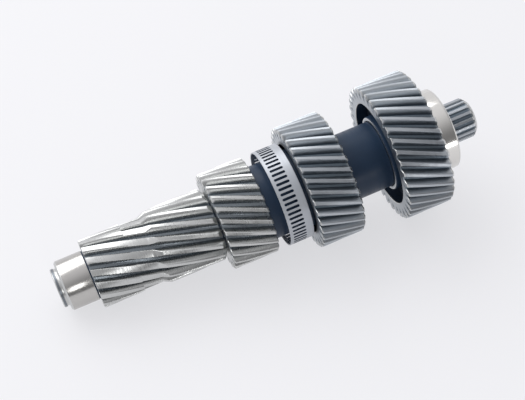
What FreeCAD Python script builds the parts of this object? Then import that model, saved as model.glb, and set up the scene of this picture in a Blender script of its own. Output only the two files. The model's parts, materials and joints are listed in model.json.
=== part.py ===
import FreeCAD, Part
import math
import os
from FreeCAD import Vector
import Sketcher

# A truck gearbox countershaft, in millimetres.
# The forged and turned shaft carries its front spigot, the front bearing journal, two small pinions
# hobbed as one row of helical teeth with a waist between them, a third pinion, stepped seats and a
# splined tail. A slotted pulse ring, two helical gears and the inner ring of the rear bearing are
# pressed on to it. Every piece is drawn on the X axis with the spigot's face at zero, and all of
# them share one placement: the shaft lies on the teeth of its front pinion and of the small gear,
# with its tail end up.

doc = FreeCAD.newDocument("countershaft")

SIZES = {
    # front end
    "spigot_diameter": 46.4,
    "spigot_length": 4.2,
    "spigot_chamfer": 0.8,
    "neck_diameter": 44.8,
    "neck_length": 2.6,
    "journal_diameter": 60.0,
    "journal_length": 33.4,
    "journal_chamfer": 2.2,
    "relief_diameter": 58.4,
    "relief_width": 1.5,
    # front and middle pinions, one row of teeth as high as the middle pinion, cut lower elsewhere
    "pinion_teeth": 16,
    "pinion_lead": 0.445,
    "pinion_diameter": 88.2,
    "pinion_tooth_depth": 10.6,
    "pinion_addendum": 6.1,
    "pinion_base_drop": 1.5,
    "pinion_tooth_half_angle": 7.0,
    "front_pinion_drop": 2.9,
    "front_pinion_width": 49.6,
    "front_pinion_chamfer": 0.8,
    "waist_drop": 4.5,
    "waist_width": 23.3,
    "lead_in_width": 8.6,
    "middle_pinion_width": 66.8,
    "lead_out_width": 4.7,
    "lead_out_drop": 5.6,
    "runout_width": 1.3,
    "runout_diameter": 65.0,
    # rear pinion
    "rear_pinion_teeth": 24,
    "rear_pinion_lead": 0.44,
    "rear_pinion_phase": 6.5,
    "rear_pinion_diameter": 117.6,
    "rear_pinion_tooth_depth": 9.4,
    "rear_pinion_addendum": 4.5,
    "rear_pinion_base_drop": 3.0,
    "rear_pinion_tooth_half_angle": 3.9,
    "rear_pinion_width": 55.7,
    "rear_pinion_chamfer": 1.4,
    # middle of the shaft and the seats
    "middle_diameter": 90.0,
    "middle_length": 41.1,
    "small_seat_diameter": 84.0,
    "link_diameter": 81.2,
    "link_length": 51.9,
    "large_seat_diameter": 76.0,
    "bearing_seat_diameter": 75.0,
    "bearing_seat_overhang": 1.5,
    "seat_chamfer": 1.0,
    # splined tail
    "tail_length": 35.4,
    "tail_chamfer": 5.4,
    "spline_teeth": 18,
    "spline_diameter": 48.6,
    "spline_tooth_depth": 2.6,
    "spline_tooth_half_angle": 5.2,
    # slotted pulse ring
    "ring_diameter": 116.6,
    "ring_width": 29.3,
    "ring_wall": 1.6,
    "ring_web": 2.5,
    "ring_rim": 3.6,
    "slot_count": 60,
    "slot_length": 16.4,
    "slot_width": 3.2,
    # small gear
    "small_gear_teeth": 33,
    "small_gear_lead": 0.32,
    "small_gear_diameter": 150.0,
    "small_gear_tooth_depth": 9.0,
    "small_gear_addendum": 4.0,
    "small_gear_base_drop": 4.5,
    "small_gear_tooth_half_angle": 2.8,
    "small_gear_width": 54.4,
    "small_gear_front_chamfer": 1.2,
    "small_gear_rear_chamfer": 2.2,
    "small_gear_rim": 10.5,
    "small_gear_recess_depth": 12.0,
    "small_gear_hub_wall": 5.5,
    "small_gear_hub_lead": 4.2,
    "small_gear_hub_chamfer": 1.2,
    "small_gear_bore_chamfer": 1.0,
    # large gear
    "large_gear_teeth": 36,
    "large_gear_lead": 0.32,
    "large_gear_phase": 9.4,
    "large_gear_diameter": 166.0,
    "large_gear_tooth_depth": 9.0,
    "large_gear_addendum": 4.0,
    "large_gear_base_drop": 5.2,
    "large_gear_tooth_half_angle": 2.6,
    "large_gear_width": 58.3,
    "large_gear_front_chamfer": 1.2,
    "large_gear_rear_chamfer": 2.6,
    "large_gear_rim": 10.7,
    "large_gear_recess_depth": 16.0,
    "large_gear_hub_wall": 7.8,
    "large_gear_hub_chamfer": 1.2,
    "large_gear_bore_chamfer": 3.4,
    # rear bearing inner ring
    "inner_ring_diameter": 99.0,
    "inner_ring_width": 24.8,
    "inner_ring_chamfer": 2.2,
    # how far a piece of the shaft runs into its neighbour inside the steel
    "inside_overlap": 2.0,
}

sheet = doc.addObject("Spreadsheet::Sheet", "sizes")
for row, (alias, value) in enumerate(SIZES.items(), start=1):
    sheet.set("A%d" % row, alias)
    sheet.set("B%d" % row, str(value))
    sheet.setAlias("B%d" % row, alias)
doc.recompute()


def size(alias):
    """The value that the sheet holds for a size."""
    return float(sheet.get(alias))


def total(names):
    """An expression that adds named sizes together."""
    return " + ".join("sizes." + name for name in names)


# Stations along the axis: each one is the list of lengths from the spigot's face to it.
JOURNAL = ["spigot_length", "neck_length"]
JOURNAL_END = JOURNAL + ["journal_length"]
FRONT_PINION = JOURNAL_END + ["relief_width"]
WAIST = FRONT_PINION + ["front_pinion_width"]
LEAD_IN = WAIST + ["waist_width"]
MIDDLE_PINION = LEAD_IN + ["lead_in_width"]
LEAD_OUT = MIDDLE_PINION + ["middle_pinion_width"]
RUNOUT = LEAD_OUT + ["lead_out_width"]
REAR_PINION = RUNOUT + ["runout_width"]
MIDDLE = REAR_PINION + ["rear_pinion_width"]
RING_WEB = MIDDLE + ["middle_length"]
SMALL_HUB = RING_WEB + ["ring_web"]
SMALL_GEAR = SMALL_HUB + ["small_gear_hub_lead"]
LINK = SMALL_GEAR + ["small_gear_width"]
LARGE_GEAR = LINK + ["link_length"]
INNER_RING = LARGE_GEAR + ["large_gear_width"]
INNER_RING_END = INNER_RING + ["inner_ring_width"]
TAIL = INNER_RING_END + ["bearing_seat_overhang"]
TAIL_END = TAIL + ["tail_length"]


def station(names):
    """Where a station lies on the axis."""
    return sum(size(name) for name in names)


def origin_feature(body, role):
    """One of a body's own origin planes or axes."""
    for feature in body.Origin.OriginFeatures:
        if feature.Role == role:
            return feature
    raise ValueError(role)


def evaluated(expression):
    """The number that an expression over the sheet gives."""
    for alias in sorted(SIZES, key=len, reverse=True):
        expression = expression.replace("sizes." + alias, "(%r)" % size(alias))
    return FreeCAD.Units.Quantity(expression).Value


def turned_body(name, corners):
    """A body turned about the X axis from a closed outline of (station, radius) expressions.

    A corner whose radius is None lies on the axis. A station of None is the spigot's face.
    """
    body = doc.addObject("PartDesign::Body", name)
    sketch = body.newObject("Sketcher::SketchObject", name + "_outline")
    sketch.AttachmentSupport = [(origin_feature(body, "XZ_Plane"), "")]
    sketch.MapMode = "FlatFace"
    places = [
        Vector(evaluated(x) if x else 0.0, evaluated(radius) if radius else 0.0, 0)
        for x, radius in corners
    ]
    count = len(places)
    for index in range(count):
        sketch.addGeometry(Part.LineSegment(places[index], places[(index + 1) % count]), False)
    for index in range(count):
        following = (index + 1) % count
        sketch.addConstraint(Sketcher.Constraint("Coincident", index, 2, following, 1))
    for index, (x, radius) in enumerate(corners):
        if x:
            number = sketch.addConstraint(
                Sketcher.Constraint("DistanceX", -1, 1, index, 1, places[index].x)
            )
            sketch.setExpression("Constraints[%d]" % number, x)
        else:
            sketch.addConstraint(Sketcher.Constraint("PointOnObject", index, 1, -2))
        if radius:
            number = sketch.addConstraint(
                Sketcher.Constraint("DistanceY", -1, 1, index, 1, places[index].y)
            )
            sketch.setExpression("Constraints[%d]" % number, radius)
        else:
            sketch.addConstraint(Sketcher.Constraint("PointOnObject", index, 1, -1))
    turn = body.newObject("PartDesign::Revolution", name + "_turned")
    turn.Profile = sketch
    turn.ReferenceAxis = (sketch, ["H_Axis"])
    turn.Angle = 360.0
    sketch.Visibility = False
    doc.recompute()
    return body


def r(alias):
    """The expression of half a diameter."""
    return "sizes.%s / 2" % alias


# How many chords follow each involute flank: within 0.4 mm of it on the strongly curved teeth of the
# pinions and on the flatter ones of the gears.
PINION_CHORDS = 2
GEAR_CHORDS = 1


def involute(angle):
    """The involute function of a pressure angle."""
    return math.tan(angle) - angle


def tip_radius(kind):
    """Half the diameter of a kind of tooth, or of the ring."""
    return size(kind + "_diameter") / 2


def tooth_half_angle(kind, radius):
    """Half the angle that a tooth fills at a radius, from its involute flank."""
    pitch = tip_radius(kind) - size(kind + "_addendum")
    base = pitch - size(kind + "_base_drop")
    at_pitch = involute(math.acos(base / pitch))
    at_radius = involute(math.acos(base / max(radius, base)))
    return math.radians(size(kind + "_tooth_half_angle")) + at_pitch - at_radius


def tooth_row(kind, tip, x, turn, chords):
    """One section of a row of teeth, square to the axis, with a tooth at the angle turn.

    Angles start straight down and grow the right-handed way about the X axis. Each flank follows
    its involute from the root to the tip in the given number of chords.
    """
    teeth = int(size(kind + "_teeth"))
    root = tip_radius(kind) - size(kind + "_tooth_depth")
    rising = [root + (tip - root) * step / chords for step in range(chords + 1)]
    flanks = [(radius, -1) for radius in rising] + [(radius, 1) for radius in reversed(rising)]
    corners = []
    for index in range(teeth):
        middle = turn + index * 2 * math.pi / teeth
        for radius, side in flanks:
            angle = middle + side * tooth_half_angle(kind, radius)
            corners.append(Vector(x, radius * math.sin(angle), -radius * math.cos(angle)))
    return Part.makePolygon(corners + corners[:1])


def tooth_bar(name, kind, start, end, datum, phase, chords):
    """A solid bar of right-handed helical teeth between two stations.

    The teeth turn by the kind's lead in degrees for each millimetre and have one of them at the
    angle phase at the station datum. One section is swept along the axis, guided by a helix, and
    its tips stand a little past the kind's diameter, for the turned blank to trim.
    """
    lead = size(kind + "_lead")
    tip = tip_radius(kind) + size("inside_overlap") / 2
    turn = math.radians(phase + lead * (start - datum))
    helix = Part.makeHelix(360.0 / lead, end - start, tip)
    helix.rotate(Vector(0, 0, 0), Vector(0, 1, 0), 90)
    helix.translate(Vector(start, 0, 0))
    axis = Part.LineSegment(Vector(start, 0, 0), Vector(end, 0, 0)).toShape()
    sweep = Part.BRepOffsetAPI.MakePipeShell(Part.Wire(axis))
    sweep.setAuxiliarySpine(Part.Wire(helix.Edges), True, 0)
    sweep.add(tooth_row(kind, tip, start, turn, chords))
    sweep.build()
    sweep.makeSolid()
    bar = doc.addObject("Part::Feature", name)
    bar.Shape = sweep.shape()
    return bar


def common(name, base, tool):
    """The solid that two objects share."""
    shared = doc.addObject("Part::Common", name)
    shared.Base = base
    shared.Tool = tool
    doc.recompute()
    return shared


# Countershaft: the turned core, whose radius inside each pinion stays below the tooth roots.
INSIDE = " + sizes.inside_overlap"
SPLINE_ROOT = r("spline_diameter") + " - sizes.spline_tooth_depth"
core = turned_body("shaft_core", [
    (None, None),
    (None, r("spigot_diameter") + " - sizes.spigot_chamfer"),
    ("sizes.spigot_chamfer", r("spigot_diameter")),
    ("sizes.spigot_length", r("spigot_diameter")),
    ("sizes.spigot_length", r("neck_diameter")),
    (total(JOURNAL), r("neck_diameter")),
    (total(JOURNAL), r("journal_diameter") + " - sizes.journal_chamfer"),
    (total(JOURNAL) + " + sizes.journal_chamfer", r("journal_diameter")),
    (total(JOURNAL_END), r("journal_diameter")),
    (total(JOURNAL_END), r("relief_diameter")),
    (total(FRONT_PINION) + INSIDE, r("relief_diameter")),
    (total(FRONT_PINION) + INSIDE, r("runout_diameter")),
    (total(REAR_PINION) + INSIDE, r("runout_diameter")),
    (total(REAR_PINION) + INSIDE, r("middle_diameter")),
    (total(RING_WEB), r("middle_diameter")),
    (total(RING_WEB), r("small_seat_diameter")),
    (total(LINK), r("small_seat_diameter")),
    (total(LINK), r("link_diameter")),
    (total(LARGE_GEAR), r("link_diameter")),
    (total(LARGE_GEAR), r("large_seat_diameter")),
    (total(INNER_RING), r("large_seat_diameter")),
    (total(INNER_RING), r("bearing_seat_diameter")),
    (total(TAIL) + " - sizes.seat_chamfer", r("bearing_seat_diameter")),
    (total(TAIL), r("bearing_seat_diameter") + " - sizes.seat_chamfer"),
    (total(TAIL), SPLINE_ROOT + " - sizes.inside_overlap"),
    (total(TAIL) + INSIDE, SPLINE_ROOT + " - sizes.inside_overlap"),
    (total(TAIL) + INSIDE, None),
])

# The front and middle pinions are one row of teeth under a stepped outline. A gap between two teeth
# faces straight down where the left chamfer meets the tips, so that two tips carry the shaft there.
FRONT_TIP = r("pinion_diameter") + " - sizes.front_pinion_drop"
WAIST_TIP = r("pinion_diameter") + " - sizes.waist_drop"
pinion_outline = turned_body("pinion_outline", [
    (total(FRONT_PINION), None),
    (total(FRONT_PINION), FRONT_TIP + " - sizes.front_pinion_chamfer"),
    (total(FRONT_PINION) + " + sizes.front_pinion_chamfer", FRONT_TIP),
    (total(WAIST), FRONT_TIP),
    (total(WAIST), WAIST_TIP),
    (total(LEAD_IN), WAIST_TIP),
    (total(MIDDLE_PINION), r("pinion_diameter")),
    (total(LEAD_OUT), r("pinion_diameter")),
    (total(RUNOUT), r("pinion_diameter") + " - sizes.lead_out_drop"),
    (total(RUNOUT), None),
])
PINION_CONTACT = FRONT_PINION + ["front_pinion_chamfer"]
pinion_bar = tooth_bar(
    "pinion_teeth", "pinion",
    station(FRONT_PINION) - size("inside_overlap"), station(RUNOUT) + size("inside_overlap"),
    station(PINION_CONTACT), 180.0 / size("pinion_teeth"), PINION_CHORDS,
)
pinions = common("pinions", pinion_bar, pinion_outline)

rear_outline = turned_body("rear_pinion_outline", [
    (total(REAR_PINION), None),
    (total(REAR_PINION), r("rear_pinion_diameter") + " - sizes.rear_pinion_chamfer"),
    (total(REAR_PINION) + " + sizes.rear_pinion_chamfer", r("rear_pinion_diameter")),
    (total(MIDDLE) + " - sizes.rear_pinion_chamfer", r("rear_pinion_diameter")),
    (total(MIDDLE), r("rear_pinion_diameter") + " - sizes.rear_pinion_chamfer"),
    (total(MIDDLE), None),
])
rear_bar = tooth_bar(
    "rear_pinion_teeth", "rear_pinion",
    station(REAR_PINION) - size("inside_overlap"), station(MIDDLE) + size("inside_overlap"),
    station(REAR_PINION), size("rear_pinion_phase"), PINION_CHORDS,
)
rear_pinion = common("rear_pinion", rear_bar, rear_outline)


def spline_section(x):
    """The tail's straight-sided spline as a closed outline at a station."""
    teeth = int(size("spline_teeth"))
    tip = tip_radius("spline") + size("inside_overlap")
    root = tip_radius("spline") - size("spline_tooth_depth")
    half = math.radians(size("spline_tooth_half_angle"))
    corners = []
    for index in range(teeth):
        middle = 2 * math.pi * index / teeth
        for radius, side in ((root, -half), (tip, -half), (tip, half), (root, half)):
            angle = middle + side * root / radius
            corners.append(Vector(x, radius * math.sin(angle), -radius * math.cos(angle)))
    return Part.makePolygon(corners + corners[:1])


spline_bar = doc.addObject("Part::Feature", "spline_teeth")
spline_start = station(TAIL) - size("seat_chamfer") - size("inside_overlap")
spline_bar.Shape = Part.Face(spline_section(spline_start)).extrude(
    Vector(station(TAIL_END) + size("inside_overlap") - spline_start, 0, 0)
)
spline_outline = turned_body("spline_outline", [
    (total(TAIL) + " - sizes.seat_chamfer - sizes.inside_overlap / 2", None),
    (total(TAIL) + " - sizes.seat_chamfer - sizes.inside_overlap / 2", r("spline_diameter")),
    (total(TAIL_END) + " - sizes.tail_chamfer", r("spline_diameter")),
    (total(TAIL_END), r("spline_diameter") + " - sizes.tail_chamfer"),
    (total(TAIL_END), None),
])
spline = common("spline", spline_bar, spline_outline)

countershaft = doc.addObject("Part::MultiFuse", "countershaft")
countershaft.Shapes = [core, pinions, rear_pinion, spline]
countershaft.Label = "countershaft"
doc.recompute()

# Slotted pulse ring: a pressed sheet cup, open towards the rear pinion, whose web is clamped
# between the shaft's shoulder and the hub of the small gear.
RING_OPEN = total(SMALL_HUB) + " - sizes.ring_width"
cup = turned_body("ring_cup", [
    (total(RING_WEB), r("small_seat_diameter")),
    (total(SMALL_HUB), r("small_seat_diameter")),
    (total(SMALL_HUB), r("ring_diameter")),
    (RING_OPEN, r("ring_diameter")),
    (RING_OPEN, r("ring_diameter") + " - sizes.ring_wall"),
    (total(RING_WEB), r("ring_diameter") + " - sizes.ring_wall"),
])


def slot_cutters():
    """Cutters for the ring's slots, all round the axis, with ends of three chords each."""
    half = size("slot_width") / 2
    left = evaluated(RING_OPEN) + size("ring_rim")
    right = left + size("slot_length")
    corner = half * (1 - math.tan(math.pi / 8))
    clear = size("ring_wall") / 2
    floor = -(tip_radius("ring") + clear)
    corners = [
        Vector(left + corner, -half, floor),
        Vector(right - corner, -half, floor),
        Vector(right, corner - half, floor),
        Vector(right, half - corner, floor),
        Vector(right - corner, half, floor),
        Vector(left + corner, half, floor),
        Vector(left, half - corner, floor),
        Vector(left, corner - half, floor),
    ]
    outline = Part.makePolygon(corners + corners[:1])
    cutter = Part.Face(outline).extrude(Vector(0, 0, size("ring_wall") + 2 * clear))
    count = int(size("slot_count"))
    cutters = []
    for index in range(count):
        turned = cutter.copy()
        turned.rotate(Vector(0, 0, 0), Vector(1, 0, 0), 360.0 * index / count)
        cutters.append(turned)
    return Part.makeCompound(cutters)


slots = doc.addObject("Part::Feature", "slots")
slots.Shape = slot_cutters()
ring = doc.addObject("Part::Cut", "slotted_pulse_ring")
ring.Base = cup
ring.Tool = slots
ring.Label = "slotted_pulse_ring"
doc.recompute()


def counterbore(kind, name, start):
    """A cylinder that cuts the recess between a gear's rim and its hub from a station on."""
    cutter = doc.addObject("Part::Cylinder", name)
    root = "%s - sizes.%s_tooth_depth" % (r(kind + "_diameter"), kind)
    cutter.setExpression("Radius", "%s - sizes.%s_rim" % (root, kind))
    cutter.setExpression("Height", "sizes.%s_recess_depth" % kind)
    cutter.setExpression("Placement.Base.x", start)
    cutter.Placement.Rotation = FreeCAD.Rotation(Vector(0, 1, 0), 90)
    return cutter


def helical_gear(kind, hub_face, face, end, seat, datum, phase):
    """A gear pressed on a seat, its hub running from hub_face and its teeth from face to end.

    A disc is counterbored from both sides, the hub goes through it, and a bar of helical teeth
    trims the outside.
    """
    tip = r(kind + "_diameter")
    hub = "%s + sizes.%s_hub_wall" % (r(seat), kind)
    disc = turned_body(kind + "_disc", [
        (total(face), r(seat)),
        (total(face), "%s - sizes.%s_front_chamfer" % (tip, kind)),
        ("%s + sizes.%s_front_chamfer" % (total(face), kind), tip),
        ("%s - sizes.%s_rear_chamfer" % (total(end), kind), tip),
        (total(end), "%s - sizes.%s_rear_chamfer" % (tip, kind)),
        (total(end), r(seat)),
    ])
    hub_tube = turned_body(kind + "_hub", [
        ("%s + sizes.%s_bore_chamfer" % (total(hub_face), kind), r(seat)),
        (total(hub_face), "%s + sizes.%s_bore_chamfer" % (r(seat), kind)),
        (total(hub_face), "%s - sizes.%s_hub_chamfer" % (hub, kind)),
        ("%s + sizes.%s_hub_chamfer" % (total(hub_face), kind), hub),
        (total(end), hub),
        (total(end), r(seat)),
    ])
    recesses = doc.addObject("Part::MultiFuse", kind + "_recesses")
    recesses.Shapes = [
        counterbore(kind, kind + "_front_recess", total(face)),
        counterbore(kind, kind + "_rear_recess", "%s - sizes.%s_recess_depth" % (total(end), kind)),
    ]
    rim = doc.addObject("Part::Cut", kind + "_rim")
    rim.Base = disc
    rim.Tool = recesses
    blank = doc.addObject("Part::Fuse", kind + "_blank")
    blank.Base = rim
    blank.Tool = hub_tube
    bar = tooth_bar(
        kind + "_teeth", kind, station(hub_face) - size("inside_overlap"),
        station(end) + size("inside_overlap"), station(datum), phase, GEAR_CHORDS,
    )
    made = common(kind, bar, blank)
    made.Label = kind
    return made


# The small gear has a gap straight down where its left chamfer meets the tips, as the pinion has.
SMALL_CONTACT = SMALL_GEAR + ["small_gear_front_chamfer"]
small_gear = helical_gear(
    "small_gear", SMALL_HUB, SMALL_GEAR, LINK, "small_seat_diameter",
    SMALL_CONTACT, 180.0 / size("small_gear_teeth"),
)
large_gear = helical_gear(
    "large_gear", LARGE_GEAR, LARGE_GEAR, INNER_RING, "large_seat_diameter",
    LARGE_GEAR, size("large_gear_phase"),
)

# Inner ring of the rear roller bearing, pressed against the large gear's hub.
inner_ring = turned_body("bearing_inner_ring", [
    (total(INNER_RING), r("bearing_seat_diameter")),
    (total(INNER_RING), r("inner_ring_diameter")),
    (total(INNER_RING_END) + " - sizes.inner_ring_chamfer", r("inner_ring_diameter")),
    (total(INNER_RING_END), r("inner_ring_diameter") + " - sizes.inner_ring_chamfer"),
    (total(INNER_RING_END), r("bearing_seat_diameter")),
])
inner_ring.Label = "bearing_inner_ring"


# How the shaft lies: on two neighbouring tips of the front pinion and two of the small gear, where
# the left chamfers end. The rear pinion and the large gear hang a little clear of the surface.
def contact_radius(kind, tip):
    """How far below the axis the two tips beside a gap that faces down reach."""
    return tip * math.cos(math.pi / size(kind + "_teeth") - tooth_half_angle(kind, tip))


front_radius = contact_radius("pinion", tip_radius("pinion") - size("front_pinion_drop"))
gear_radius = contact_radius("small_gear", tip_radius("small_gear"))
lie = math.atan2(gear_radius - front_radius, station(SMALL_CONTACT) - station(PINION_CONTACT))
lift = front_radius * math.cos(lie) - station(PINION_CONTACT) * math.sin(lie)
front_reach = (size("spigot_diameter") / 2 - size("spigot_chamfer")) * math.sin(lie)
tail_reach = (size("spline_diameter") / 2 - size("tail_chamfer")) * math.sin(lie)
length = station(TAIL_END) * math.cos(lie)
middle = (length + tail_reach - front_reach) / 2
lying = FreeCAD.Placement(
    Vector(-middle, 0, lift), FreeCAD.Rotation(Vector(0, 1, 0), -math.degrees(lie))
)

pieces = [countershaft, ring, small_gear, large_gear, inner_ring]
for piece in pieces:
    piece.Placement = lying
doc.recompute()

for thing in doc.Objects:
    if "Invalid" in thing.State or "Error" in thing.State:
        raise RuntimeError("%s failed: %s" % (thing.Name, thing.State))
os.makedirs("parts", exist_ok=True)
for piece in pieces:
    shape = piece.Shape
    if shape.isNull() or not shape.isValid() or len(shape.Solids) != 1:
        raise RuntimeError("%s is not one valid solid" % piece.Label)
    shape.exportStep("parts/%s.step" % piece.Label)
    print("%s: %.1f cm3" % (piece.Label, shape.Volume / 1000))
print("lies at %.2f degrees, axis lifted %.2f mm" % (math.degrees(lie), lift))
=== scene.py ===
"""Looks of a truck gearbox countershaft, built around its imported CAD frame.

The shaft lies on its teeth with its splined tail raised. Every real piece is one skin made of rings
of points round the shaft's axis, worked out with numpy, and stands for the CAD node of its name.
"""

import json
import logging
import math
from dataclasses import dataclass, field
from enum import Enum

import bmesh
import bpy
import numpy as np
from mathutils import Matrix, Vector

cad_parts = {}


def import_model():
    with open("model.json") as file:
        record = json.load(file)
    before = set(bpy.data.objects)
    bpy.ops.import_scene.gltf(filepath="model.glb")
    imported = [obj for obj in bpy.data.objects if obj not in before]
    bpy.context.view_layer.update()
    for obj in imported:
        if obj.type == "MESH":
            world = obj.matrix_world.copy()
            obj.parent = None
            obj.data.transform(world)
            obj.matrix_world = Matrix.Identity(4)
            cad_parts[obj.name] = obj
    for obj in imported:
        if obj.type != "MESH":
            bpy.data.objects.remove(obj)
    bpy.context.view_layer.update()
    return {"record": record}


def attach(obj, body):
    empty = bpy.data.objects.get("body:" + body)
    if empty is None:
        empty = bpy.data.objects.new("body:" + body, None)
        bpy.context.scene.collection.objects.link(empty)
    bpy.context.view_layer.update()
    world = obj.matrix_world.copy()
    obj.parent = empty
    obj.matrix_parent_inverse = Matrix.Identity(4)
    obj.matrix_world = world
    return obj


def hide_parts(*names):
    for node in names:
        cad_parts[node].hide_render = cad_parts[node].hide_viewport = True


LOG = logging.getLogger("countershaft")
MM = 0.001
TURN = 2.0 * math.pi
IMAGE_WIDTH = 525
IMAGE_HEIGHT = 400
SHARP_ANGLE = math.radians(32.0)
ROUND_POINTS = 192
# Points nearer than WELD, in metres, are one. Rings nearer than SAME_PLACE, in millimetres, are one.
WELD = 1e-6
SAME_PLACE = 1e-6
# A rounded corner: its size, its points along the curve, and the most of each side that it takes.
ROUND_MM = 0.35
ROUND_STEPS = (0.0, 0.33, 0.67, 1.0)
ROUND_SHARE = 0.4
# Points of half a tooth's outline: along the root, up the fillet as shares of it, and up the flank.
ROOT_POINTS = 3
FILLET_STEPS = (0.35, 0.7)
FLANK_POINTS = 7
# A tip's edge: how far its points lie in from the flank and below the tip, as shares of the break.
EDGE_IN = 0.8
EDGE_OUT = 0.25
EDGE_DOWN = 0.3
# Marks: the swing of the gloss, and their height and length as multiples of their width.
GLOSS_SWING = 0.2
MARK_HEIGHT = 0.2
MARK_LENGTH = 50.0
# Nearly all values of the noise lie between these two.
NOISE_LOW, NOISE_HIGH = 0.3, 0.7
CLOUD_MM = 26.0
# Between these shares of a tooth's depth, the root's painted shade turns into the flank's own colour.
ROOT_SHARE = 0.05
FLANK_SHARE = 0.6


class Finish(Enum):
    """The finishes of the steel, in the order of each piece's material slots."""

    GROUND = "ground_journal_steel"
    POLISHED = "superfinished_bearing_steel"
    HOBBED = "shaved_pinion_steel"
    GEAR = "ground_gear_steel"
    # Near-black: a dark steel finish, and painted shade in recesses and slots.
    DARK = "dark_steel_and_painted_shade"
    SHEET = "pressed_sheet_steel"
    # Painted highlight: rounded edges and chamfers are painted brighter than the faces beside them.
    EDGE = "painted_highlight_edge_steel"
    # Darker grey: partly painted shade on the spigot's side.
    SPIGOT = "turned_spigot_steel_painted_shade"


# A ring's point numbers and their angles.
Ring = tuple[np.ndarray, np.ndarray]
# A corner's station and radius, and the finish of the face that leads to it.
Corner = tuple[float, float, Finish]


def linear(hex_colour: str) -> tuple[float, float, float, float]:
    """Turns an sRGB hex colour into the linear values that a node takes.

    Args:
        hex_colour: Six hex digits with a leading hash.

    Returns:
        Linear red, green, blue and an alpha of one.
    """
    parts = [int(hex_colour[at : at + 2], 16) / 255.0 for at in (1, 3, 5)]
    values = [p / 12.92 if p <= 0.04045 else ((p + 0.055) / 1.055) ** 2.4 for p in parts]
    return (values[0], values[1], values[2], 1.0)


def add_node(tree: bpy.types.NodeTree, kind: str, inputs: dict | None = None, **settings) -> bpy.types.Node:
    """Adds one node, sets its properties and fills or links its inputs.

    Args:
        tree: The node tree that gets the node.
        kind: The node's type name.
        inputs: Values or output sockets for the node's inputs, by input name or number.
        **settings: Properties of the node itself.

    Returns:
        The new node.
    """
    node = tree.nodes.new(kind)
    for name, value in settings.items():
        setattr(node, name, value)
    for name, value in (inputs or {}).items():
        socket = node.inputs[name]
        if isinstance(value, bpy.types.NodeSocket):
            tree.links.new(value, socket)
        else:
            socket.default_value = value
    return node


@dataclass(frozen=True)
class AxisLine:
    """The shaft's axis in the row frame, with the two directions square to it."""

    start: np.ndarray
    along: np.ndarray
    side: np.ndarray
    up: np.ndarray

    @classmethod
    def from_record(cls, record: dict, journal_middle: float) -> "AxisLine":
        """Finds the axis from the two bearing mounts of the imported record.

        Args:
            record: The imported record.
            journal_middle: Station of the front journal's mount, in millimetres.

        Returns:
            The line, whose start is the spigot's face.
        """
        places = {mount["name"]: np.array(mount["pos_m"], float) for mount in record["mounts"]}
        front, rear = places["front_journal"], places["rear_bearing_race"]
        along = (rear - front) / np.linalg.norm(rear - front)
        side = np.array([0.0, 1.0, 0.0])
        return cls(front - along * journal_middle * MM, along, side, np.cross(along, side))

    def place(self, station: np.ndarray, radius: np.ndarray, angle: np.ndarray) -> np.ndarray:
        """Points of the row frame from their place on the shaft.

        The point is start + station along + radius (sin angle side - cos angle up), so angle zero
        points down and angles grow the right-handed way about the axis.

        Args:
            station: Distances from the spigot's face, in millimetres.
            radius: Distances from the axis, in millimetres.
            angle: Angles round the axis, in radians.

        Returns:
            An array of points in metres.
        """
        station, radius, angle = np.broadcast_arrays(station, radius, angle)
        return (
            self.start
            + (station * MM)[:, None] * self.along
            + (radius * np.sin(angle) * MM)[:, None] * self.side
            - (radius * np.cos(angle) * MM)[:, None] * self.up
        )


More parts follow.
